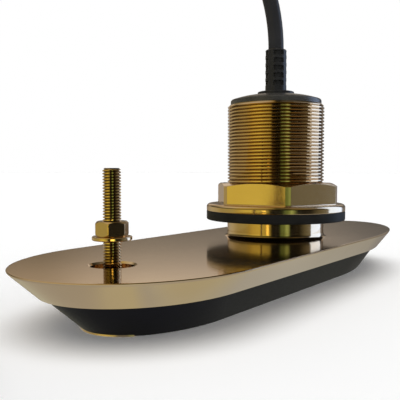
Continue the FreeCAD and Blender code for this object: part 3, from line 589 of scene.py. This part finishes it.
def add_stem(mesh):
    """Thread, shank, foot and bore; gives back the foot's outline and the bore's lower one."""
    mesh.from_mesh(thread_mesh("stem_thread", THREAD_LOW_Z, STEM_TOP_Z, STEM_PITCH, STEM_COLUMNS,
                               threaded_bronze_shaded_roots, STEM_FLAT, STEM_FLANK, Centre_X=STEM_X,
                               Crest_Radius=CREST, Depth=STEM_DEPTH, End_Cone=STEM_CONE))
    thread_low, thread_high = boundary_rings(mesh)
    print("thread rims", len(thread_low), len(thread_high))
    for face in mesh.faces:
        face.material_index = 1
    angles = [math.pi / 2 * k / FOOT_STEPS for k in range(FOOT_STEPS + 1)]
    shank = [(SHANK + FOOT_OUT * (1 - math.sin(a)), DECK_Z + FOOT_UP * (1 - math.cos(a))) for a in angles]
    shank += [(SHANK, GAP_MIDDLE_Z), (SHANK, GASKET_TOP_Z), (PITCH_RADIUS, GASKET_TOP_Z)]
    shank += [(PITCH_RADIUS, THREAD_LOW_Z - 1)]
    rings = [add_ring(mesh, circle(STEM_X, r, z, STEM_COLUMNS)) for r, z in shank]
    skin(mesh, rings + [thread_low])
    bore = [add_ring(mesh, circle(STEM_X, BORE, z, STEM_COLUMNS)) for z in (STEM_TOP_Z, CEILING_Z)]
    skin(mesh, [thread_high] + bore)
    return rings[0], bore[-1]


def make_housing():
    mesh = bmesh.new()
    foot, bore_end = add_stem(mesh)
    outer = [add_ring(mesh, outline) for outline in rim_outlines()]
    skin(mesh, outer)
    recess = [(RECESS + RECESS_CHAMFER, DECK_Z), (RECESS, DECK_Z - RECESS_CHAMFER), (RECESS, RECESS_Z),
              (STUD_HOLE, RECESS_Z), (STUD_HOLE, STUD_HOLE_Z)]
    hole = [add_ring(mesh, circle(STUD_X, r, z, 64)) for r, z in recess]
    skin(mesh, hole)
    fill(mesh, [hole[-1]])
    fill(mesh, [outer[-1], foot, hole[0]])
    wall = [add_ring(mesh, oval(TONGUE, z, 32)) for z in (BODY_Z, CEILING_Z)]
    boss = [add_ring(mesh, circle(STUD_X, BOSS, z, 48)) for z in (CEILING_Z, BODY_Z)]
    skin(mesh, wall)
    skin(mesh, boss)
    fill(mesh, [boss[-1]])
    fill(mesh, [wall[-1], boss[0], bore_end])
    fill(mesh, [outer[0], wall[0]])
    finishes = [polished_bronze, threaded_bronze_shaded_roots]
    as_piece(mesh, "housing_casting", finishes, "housing", sharp_deg=38)


make_housing()

# %% [markdown]
# The stud
#
# The anti-rotation stud is an M8 thread of the same tree, with 45 degree cones at its ends. It
# is seen above its nut, and again below the washer, down into the recess.

# %% Stud
STUD_LOW_Z, STUD_TOP_Z, STUD_COLUMNS = 18.0, 69.9, 64
STUD_CREST, STUD_PITCH, STUD_DEPTH, STUD_CONE, STUD_FLAT, STUD_FLANK = 3.95, 1.25, 0.92, 0.8, 0.375, 0.3125

stud_mesh = bmesh.new()
stud_mesh.from_mesh(thread_mesh("stud_thread", STUD_LOW_Z, STUD_TOP_Z, STUD_PITCH, STUD_COLUMNS,
                                stud_bronze_shaded_roots, STUD_FLAT, STUD_FLANK, Centre_X=STUD_X,
                                Crest_Radius=STUD_CREST, Depth=STUD_DEPTH, End_Cone=STUD_CONE))
bmesh.ops.holes_fill(stud_mesh, edges=[e for e in stud_mesh.edges if e.is_boundary], sides=0)
as_piece(stud_mesh, "stud_threaded", [stud_bronze_shaded_roots], "rotation_stud", sharp_deg=40)

# %% [markdown]
# Nuts with turned corners
#
# A hexagon whose corners were turned on a lathe has a radius that is the smaller of two: that of the
# flat, and that of the turned corner. At the top a cone cuts the corners, which leaves the
# arcs that every hexagon nut shows. Both nuts are built from columns of points that follow
# this rule, so the arcs are exact, where a Boolean cut with a cone would only come near. The hull
# nut's hexagon runs into its flange with a small hollow fillet, which catches a pale line of light,
# and the flange has a rounded upper edge.

# %% Nut maker
CORNER_STEPS = 6
FOOT_FILLET = ((0.9, 0.0), (0.4, 0.12), (0.12, 0.4), (0.0, 0.9))      # out from the flat, and up


def nut_angles(turn_deg, corner_deg):
    """Angles round a nut: many on the flats, and two on each turned corner."""
    angles = []
    for side in range(6):
        facing = turn_deg + 30 + 60 * side
        angles += [facing + corner_deg * k / CORNER_STEPS for k in range(-CORNER_STEPS, CORNER_STEPS + 1)]
        angles += [facing + corner_deg + (60 - 2 * corner_deg) * share for share in (0.33, 0.67)]
    return sorted(set(round(a, 5) for a in angles))


def hexagon_nut(mesh, x, flats, corner, low_z, top_z, turn_deg, chamfer, slope, bore, mouth, flange=()):
    """Rings from the bore's foot out, over the flange or the lower chamfer, up the flats and back."""
    half_flat = flats / 2
    angles = nut_angles(turn_deg, math.degrees(math.acos(half_flat / corner)))
    shoulder = corner - chamfer

    def ring(radius_of, z_of):
        points = []
        for degrees in angles:
            flat = min(corner, half_flat / math.cos(math.radians((degrees - turn_deg) % 60 - 30)))
            radius, angle = radius_of(flat), math.radians(degrees)
            points.append(Vector((x + radius * math.cos(angle), radius * math.sin(angle), z_of(flat))))
        return points

    def plain(radius, z):
        return ring(lambda flat: radius, lambda flat: z)

    def cut(flat):
        return max(0.02, (flat - shoulder) * slope)

    def inner(flat):
        return min(flat - 0.02, shoulder)

    rings = [plain(bore, low_z)] + [plain(radius, z) for radius, z in flange]
    if flange:
        foot_z = flange[-1][1]
        for out, up in FOOT_FILLET:
            rings.append(ring(lambda flat: flat + out, lambda flat: foot_z + up))
    else:
        rings.append(ring(inner, lambda flat: low_z))
        rings.append(ring(lambda flat: flat, lambda flat: low_z + cut(flat)))
    rings.append(ring(lambda flat: flat, lambda flat: top_z - cut(flat)))
    rings.append(ring(inner, lambda flat: top_z))
    rings += [plain(mouth, top_z), plain(bore, top_z - (mouth - bore))]
    made = [add_ring(mesh, points) for points in rings]
    skin(mesh, made + [made[0]])


print("a nut has", len(nut_angles(0, 28)), "columns")

# %% Hull nut
FLANGE_R, FLANGE_TOP_Z, HULL_FLATS, HULL_CORNER, HULL_TURN = 43.1, 48.2, 68.8, 38.8, 39.2
flange_edge = [(FLANGE_R - 0.5, GASKET_TOP_Z), (FLANGE_R - 0.12, GASKET_TOP_Z + 0.14)]
flange_edge += [(FLANGE_R, GASKET_TOP_Z + 0.5)] + rounded(FLANGE_R, FLANGE_TOP_Z, 2.0, 8)
hull_mesh = bmesh.new()
hexagon_nut(hull_mesh, STEM_X, HULL_FLATS, HULL_CORNER, GASKET_TOP_Z, NUT_TOP_Z, HULL_TURN, chamfer=4.3,
            slope=0.4, bore=PITCH_RADIUS + 0.05, mouth=SHANK + 1.2, flange=flange_edge)
as_piece(hull_mesh, "hull_nut_turned", [nut_bronze], "hull_nut", sharp_deg=25)

# %% Stud nut
STUD_NUT_Z, STUD_NUT_TOP_Z, STUD_FLATS, STUD_CORNER, STUD_TURN = 40.5, 47.0, 13.0, 7.4, 29.4
stud_nut_mesh = bmesh.new()
hexagon_nut(stud_nut_mesh, STUD_X, STUD_FLATS, STUD_CORNER, STUD_NUT_Z, STUD_NUT_TOP_Z, STUD_TURN,
            chamfer=1.0, slope=0.9, bore=3.65, mouth=4.3)
as_piece(stud_nut_mesh, "stud_nut_turned", [nut_bronze], "stud_nut", sharp_deg=25)

# %% [markdown]
# Turned pieces
#
# The washer is punched and tumbled, and the gasket is moulded, so both are plain rings with small
# radii on their edges. Each is a profile swept round its axis, with those radii in the profile,
# because a Bevel modifier would round the bore as well.


# %% Washer and gasket
def turned_piece(name, x, profile, finish, node_name, columns):
    mesh = bmesh.new()
    rings = [add_ring(mesh, circle(x, radius, z, columns)) for radius, z in profile]
    skin(mesh, rings + [rings[0]])
    as_piece(mesh, name, [finish], node_name, sharp_deg=30)


WASHER_Z, WASHER_R, WASHER_BORE = 38.8, 8.7, 4.2
washer_profile = [(WASHER_BORE, STUD_NUT_Z), (WASHER_BORE, WASHER_Z), (WASHER_R - 0.3, WASHER_Z)]
washer_profile += [(WASHER_R, WASHER_Z + 0.3)] + rounded(WASHER_R, STUD_NUT_Z, 0.45, 3)
turned_piece("washer_turned", STUD_X, washer_profile, nut_bronze, "stud_washer", 72)

GASKET_Z, GASKET_R, GASKET_BORE = 38.3, 43.1, 30.05
gasket_profile = [(GASKET_BORE, GASKET_TOP_Z), (GASKET_BORE, GASKET_Z), (GASKET_R - 0.7, GASKET_Z)]
gasket_profile += [(GASKET_R - 0.2, GASKET_Z + 0.2), (GASKET_R, GASKET_Z + 0.7)]
gasket_profile += [(GASKET_R, GASKET_TOP_Z - 0.5), (GASKET_R - 0.15, GASKET_TOP_Z - 0.12)]
gasket_profile += [(GASKET_R - 0.5, GASKET_TOP_Z)]
turned_piece("gasket_ring", STEM_X, gasket_profile, gasket_rubber, "hull_gasket", 160)

# %% [markdown]
# The studio, as mirror rays see it
#
# The photograph stands on plain white, but its bronze mirrors a studio: a warm wall on the left, a
# dark one with a narrow greenish strip behind the camera, a bright panel on the right and a dim
# backdrop. Real walls would need many lamps and would tint the floor, so one node group gives the
# colour of that studio for a direction. Its walls go on a little below the horizon, the ground right
# below is plain grey, and the ceiling takes over high up. The lists hold degrees round the object
# from the tail, or heights of the direction plus a half, each with a linear colour or a grey.

# %% The walls of the studio
WALLS = [
    (0, (0.2, 0.2, 0.22)), (58, (0.4, 0.36, 0.27)), (85, (0.47, 0.42, 0.26)), (112, (0.38, 0.32, 0.13)),
    (135, (0.4, 0.34, 0.11)), (145, (0.46, 0.36, 0.08)), (155, (0.62, 0.5, 0.1)), (172, (0.72, 0.6, 0.11)),
    (180, (0.62, 0.52, 0.1)), (196, (0.4, 0.34, 0.07)), (201, (0.01, 0.01, 0.006)),
    (219, (0.01, 0.01, 0.006)), (223, (0.13, 0.18, 0.045)), (230, (0.14, 0.18, 0.045)),
    (236, (0.37, 0.47, 0.15)), (240, (0.31, 0.38, 0.12)), (244, (0.008, 0.007, 0.005)),
    (268, (0.02, 0.017, 0.008)),
    (284, (0.12, 0.11, 0.06)), (296, (0.18, 0.17, 0.12)), (330, (0.2, 0.2, 0.2)), (360, (0.2, 0.2, 0.22)),
]
WALLS_BY_HEIGHT = [(0.0, 1.0), (0.61, 1.0), (0.69, 0.2)]
ABOVE = [
    (0, (0.02, 0.018, 0.01)), (18, (0.025, 0.02, 0.01)), (30, (0.07, 0.05, 0.015)), (42, (0.2, 0.14, 0.04)),
    (60, (0.36, 0.28, 0.14)), (95, (0.58, 0.52, 0.4)), (140, (0.5, 0.38, 0.09)), (190, (0.3, 0.22, 0.06)),
    (212, (0.05, 0.045, 0.012)), (235, (0.06, 0.05, 0.015)), (258, (0.22, 0.16, 0.05)),
    (300, (0.2, 0.18, 0.14)), (360, (0.02, 0.018, 0.01)),
]
NADIR = [
    (0, (0.49, 0.48, 0.36)), (5, (0.46, 0.47, 0.41)), (11, (0.42, 0.43, 0.41)), (26, (0.5, 0.49, 0.36)),
    (60, (0.49, 0.48, 0.37)), (76, (0.41, 0.4, 0.36)), (150, (0.37, 0.38, 0.38)), (220, (0.5, 0.5, 0.42)),
    (320, (0.4, 0.4, 0.4)), (360, (0.49, 0.48, 0.36)),
]
print("walls change tone at", len(WALLS), "directions")

# %% The backdrop, and where one part of the studio goes over into the next
BACKDROP_BY_HEIGHT = [
    (0.4, 0.34), (0.48, 0.32), (0.5, 0.08), (0.59, 0.105), (0.615, 0.165), (0.634, 0.22), (0.653, 0.3),
    (0.675, 0.43), (0.7, 0.52), (0.85, 0.6),
]
BACKDROP_TINT = (1.12, 0.98, 0.83)
BACKDROP_ROUND = [
    (0, (0.5, 0.5, 0.5)), (17, (0.72, 0.76, 0.82)), (20, (0.9, 0.94, 1.0)), (24, (1.3, 1.32, 1.34)),
    (30, (1.1, 1.1, 1.1)), (41, (1.1, 1.08, 1.03)), (46, (1.0, 0.95, 0.87)), (50, (0.75, 0.69, 0.58)),
    (58, (0.8, 0.72, 0.6)), (360, (0.5, 0.5, 0.5)),
]
# Shares of the way round at which the backdrop stands, then how steeply up the ceiling takes over
# and how steeply down the ground does.
WHERE_BACKDROP = [(0.0, 0.9), (0.145, 1.0), (0.19, 0.0), (0.98, 0.0), (1.0, 0.9)]
WHERE_ABOVE = [(0.35, 0.0), (0.6, 1.0)]
WHERE_BELOW = [(0.2, 0.0), (0.45, 1.0)]
print("backdrop changes tone at", len(BACKDROP_ROUND), "directions")


# %% Node group of the studio
def round_stops(rows):
    return [(degrees / 360, (*tone, 1)) for degrees, tone in rows]


def studio_group():
    tree = bpy.data.node_groups.new("studio", "ShaderNodeTree")
    tree.interface.new_socket("Direction", in_out="INPUT", socket_type="NodeSocketVector")
    tree.interface.new_socket("Color", in_out="OUTPUT", socket_type="NodeSocketColor")
    given = node(tree, "NodeGroupInput").outputs["Direction"]
    way = node(tree, "ShaderNodeSeparateXYZ", {0: given}).outputs
    turned = node(tree, "ShaderNodeMath", {0: way["Y"], 1: way["X"]}, operation="ARCTAN2").outputs[0]
    share = node(tree, "ShaderNodeMath", {0: turned, 1: 2 * math.pi}, operation="DIVIDE").outputs[0]
    share = node(tree, "ShaderNodeMath", {0: share, 1: 1.0}, operation="ADD").outputs[0]
    share = node(tree, "ShaderNodeMath", {0: share}, operation="FRACT").outputs[0]
    raised = node(tree, "ShaderNodeMath", {0: way["Z"], 1: 0.5}, operation="ADD").outputs[0]
    sunk = node(tree, "ShaderNodeMath", {0: way["Z"], 1: -1.0}, operation="MULTIPLY").outputs[0]

    walls = node(tree, "ShaderNodeValToRGB", {0: share}, round_stops(WALLS)).outputs[0]
    lower = node(tree, "ShaderNodeValToRGB", {0: raised}, WALLS_BY_HEIGHT).outputs[0]
    walls = node(tree, "ShaderNodeVectorMath", {0: walls, 1: lower}, operation="MULTIPLY").outputs[0]
    by_height = [(z, (*[tone * tint for tint in BACKDROP_TINT], 1)) for z, tone in BACKDROP_BY_HEIGHT]
    height = node(tree, "ShaderNodeValToRGB", {0: raised}, by_height).outputs[0]
    around = node(tree, "ShaderNodeValToRGB", {0: share}, round_stops(BACKDROP_ROUND)).outputs[0]
    backdrop = node(tree, "ShaderNodeVectorMath", {0: height, 1: around}, operation="MULTIPLY").outputs[0]
    higher = node(tree, "ShaderNodeValToRGB", {0: share}, round_stops(ABOVE)).outputs[0]
    ground = node(tree, "ShaderNodeValToRGB", {0: share}, round_stops(NADIR)).outputs[0]

    seen = walls
    for value, stops, next_part in ((share, WHERE_BACKDROP, backdrop), (way["Z"], WHERE_ABOVE, higher),
                                    (sunk, WHERE_BELOW, ground)):
        where = node(tree, "ShaderNodeValToRGB", {0: value}, stops).outputs[0]
        seen = node(tree, "ShaderNodeMix", {"Factor": where, "A": seen, "B": next_part},
                    data_type="RGBA").outputs[2]
    node(tree, "NodeGroupOutput", {"Color": seen})
    return tree


STUDIO = studio_group()
print("studio group has", len(STUDIO.nodes), "nodes")

# %% [markdown]
# Floor and world
#
# The camera sees both plain white, apart from the soft shadow on the floor. A Light Path node tells
# the rays apart: mirror rays see the studio in both, and all other rays take even, soft light from
# the world. That light is strongest near the horizon, as from the white walls of a light tent.

# %% Floor
FLOOR_REACH, FLOOR_DROP = 12, 0.0001        # the drop keeps the floor clear of the hull's underside
FLOOR_SEEN, FLOOR_LIFT = (0.97, 0.97, 0.97, 1), 0.06


def make_floor():
    mesh = bmesh.new()
    bmesh.ops.create_grid(mesh, x_segments=1, y_segments=1, size=FLOOR_REACH)
    data = bpy.data.meshes.new("floor")
    mesh.to_mesh(data)
    mesh.free()
    floor = bpy.data.objects.new("floor", data)
    floor.location.z = -FLOOR_DROP
    scene.collection.objects.link(floor)
    paper = bpy.data.materials.new("white_paper")
    paper.use_nodes = True
    tree = paper.node_tree
    tree.nodes.clear()
    path = node(tree, "ShaderNodeLightPath").outputs
    plain = node(tree, "ShaderNodeBsdfDiffuse", {"Color": colour("#E8E8E8")}).outputs[0]
    seen = node(tree, "ShaderNodeBsdfDiffuse", {"Color": FLOOR_SEEN}).outputs[0]
    lift = node(tree, "ShaderNodeEmission", {"Strength": FLOOR_LIFT}).outputs[0]
    seen = node(tree, "ShaderNodeAddShader", {0: seen, 1: lift}).outputs[0]
    coming = node(tree, "ShaderNodeNewGeometry").outputs["Incoming"]
    going = node(tree, "ShaderNodeVectorMath", {0: coming, "Scale": -1.0}, operation="SCALE").outputs[0]
    studio = node(tree, "ShaderNodeGroup", {0: going}, node_tree=STUDIO).outputs[0]
    mirrored = node(tree, "ShaderNodeEmission", {"Color": studio}).outputs[0]
    other = node(tree, "ShaderNodeMixShader", {0: path["Is Glossy Ray"], 1: plain, 2: mirrored}).outputs[0]
    straight = node(tree, "ShaderNodeMath", {0: path["Is Camera Ray"], 1: path["Is Transmission Ray"]},
                    operation="MAXIMUM").outputs[0]
    both = node(tree, "ShaderNodeMixShader", {0: straight, 1: other, 2: seen}).outputs[0]
    node(tree, "ShaderNodeOutputMaterial", {"Surface": both})
    data.materials.append(paper)


make_floor()
print("floor reaches", FLOOR_REACH, "m each way")

# %% World
SOFT_LIGHT = 1.8
SOFT_BY_HEIGHT = [(0.0, 1.0), (0.2, 0.66), (0.45, 0.34), (0.7, 0.14), (1.0, 0.06)]


def make_world():
    world = bpy.data.worlds.new("studio_world")
    scene.world = world
    world.use_nodes = True
    tree = world.node_tree
    tree.nodes.clear()
    way = node(tree, "ShaderNodeTexCoord").outputs["Generated"]
    studio = node(tree, "ShaderNodeGroup", {0: way}, node_tree=STUDIO).outputs[0]
    path = node(tree, "ShaderNodeLightPath").outputs
    rise = node(tree, "ShaderNodeSeparateXYZ", {0: way}).outputs["Z"]
    even = node(tree, "ShaderNodeValToRGB", {0: rise}, SOFT_BY_HEIGHT).outputs[0]
    soft = node(tree, "ShaderNodeBackground", {"Color": even, "Strength": SOFT_LIGHT}).outputs[0]
    mirrored = node(tree, "ShaderNodeBackground", {"Color": studio}).outputs[0]
    white = node(tree, "ShaderNodeBackground", {"Color": (1, 1, 1, 1), "Strength": 1.0}).outputs[0]
    light = node(tree, "ShaderNodeMixShader", {0: path["Is Glossy Ray"], 1: soft, 2: mirrored}).outputs[0]
    straight = node(tree, "ShaderNodeMath", {0: path["Is Camera Ray"], 1: path["Is Transmission Ray"]},
                    operation="MAXIMUM").outputs[0]
    light = node(tree, "ShaderNodeMixShader", {0: straight, 1: light, 2: white}).outputs[0]
    node(tree, "ShaderNodeOutputWorld", {"Surface": light})


make_world()
print("world's soft light", SOFT_LIGHT)

# %% [markdown]
# Lamps
#
# A very wide sun stands for a large soft box overhead, a little towards the nose. It makes the
# shadow under the hull and lets it fade towards the camera. An area lamp could do the same, but its
# light would fall off across the plate. A weak second sun lifts the black pieces from the right.


# %% Lamps
def soft_sun(name, azimuth_deg, tilt_deg, wide_deg, strength):
    """A sun that shines from an azimuth, tilted from straight overhead, and never seen in mirrors."""
    data = bpy.data.lights.new(name, "SUN")
    data.energy, data.angle = strength, math.radians(wide_deg)
    lamp = bpy.data.objects.new(name, data)
    azimuth, tilt = math.radians(azimuth_deg), math.radians(tilt_deg)
    source = Vector((math.cos(azimuth) * math.sin(tilt), math.sin(azimuth) * math.sin(tilt), math.cos(tilt)))
    lamp.rotation_mode = "QUATERNION"
    lamp.rotation_quaternion = (-source).to_track_quat("-Z", "Y")
    lamp.location = source
    lamp.visible_glossy = False
    scene.collection.objects.link(lamp)
    print(name, "tilted", tilt_deg, "degrees from straight overhead")


soft_sun("overhead_box", azimuth_deg=195, tilt_deg=16, wide_deg=64, strength=1.85)
soft_sun("side_fill", azimuth_deg=300, tilt_deg=60, wide_deg=40, strength=0.06)

# %% [markdown]
# Cards for the mirrors
#
# A photographer places cards beside a shiny object for its mirrors. The white band on the right of
# the stem's shank is a bright panel that stands near, beside the tail. A small gold card in front of
# the nose gives the stud's mirror image in the plate its bright middle. A dull card beside the stud
# keeps the bright panel out of its upper thread. Its back is clear, so that the stem and the hull nut
# don't mirror it. All three are plain upright sheets, and only mirror rays see them.

# %% Cards
# Each has two ends as seen from above, a lower and an upper edge, a colour and a strength.
BRIGHT_PANEL = (((0.1265, -0.2), (0.32, -0.1175)), (0, 0.3), (0.52, 0.68, 1.0, 1), 2.1)
GOLD_CARD = (((-0.1655, -0.0352), (-0.1514, -0.0496)), (0.034, 0.043), (1.0, 0.72, 0.14, 1), 2.4)
DULL_CARD = (((-0.0915, -0.00344), (-0.103, -0.0131)), (0.046, 0.072), (0.2, 0.17, 0.11, 1), 1.0)


def make_card(name, card, one_sided=False):
    ends, (low, high), tone, strength = card
    (x0, y0), (x1, y1) = ends
    mesh = bmesh.new()
    corners = [(x0, y0, low), (x1, y1, low), (x1, y1, high), (x0, y0, high)]
    mesh.faces.new([mesh.verts.new(c) for c in corners])
    data = bpy.data.meshes.new(name)
    mesh.to_mesh(data)
    mesh.free()
    sheet = bpy.data.objects.new(name, data)
    scene.collection.objects.link(sheet)
    glow = bpy.data.materials.new(name + "_light")
    glow.use_nodes = True
    tree = glow.node_tree
    tree.nodes.clear()
    light = node(tree, "ShaderNodeEmission", {"Color": tone, "Strength": strength}).outputs[0]
    if one_sided:
        behind = node(tree, "ShaderNodeNewGeometry").outputs["Backfacing"]
        clear = node(tree, "ShaderNodeBsdfTransparent").outputs[0]
        light = node(tree, "ShaderNodeMixShader", {0: behind, 1: light, 2: clear}).outputs[0]
    node(tree, "ShaderNodeOutputMaterial", {"Surface": light})
    data.materials.append(glow)
    sheet.visible_camera = sheet.visible_diffuse = sheet.visible_shadow = False
    print(name, "is", round((Vector(ends[1]) - Vector(ends[0])).length / MM), "mm wide")


make_card("bright_panel", BRIGHT_PANEL)
make_card("gold_card", GOLD_CARD)
make_card("dull_flag", DULL_CARD, one_sided=True)

# %% [markdown]
# The cable's last settings
#
# The cable gets its finish and rides on the body, and the CAD's own cable pieces are hidden. Mirror
# rays don't see it, because the photograph shows no image of it in the nut or the stem.

# %% Cable and view settings
curve.materials.append(cable_jacket)
cable.visible_glossy = False
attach(cable, "root")
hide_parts("cable", "cable_coil", "cable_tail")
scene.view_settings.view_transform = "Standard"

# %% Bring the scene up to date
bpy.context.view_layer.update()
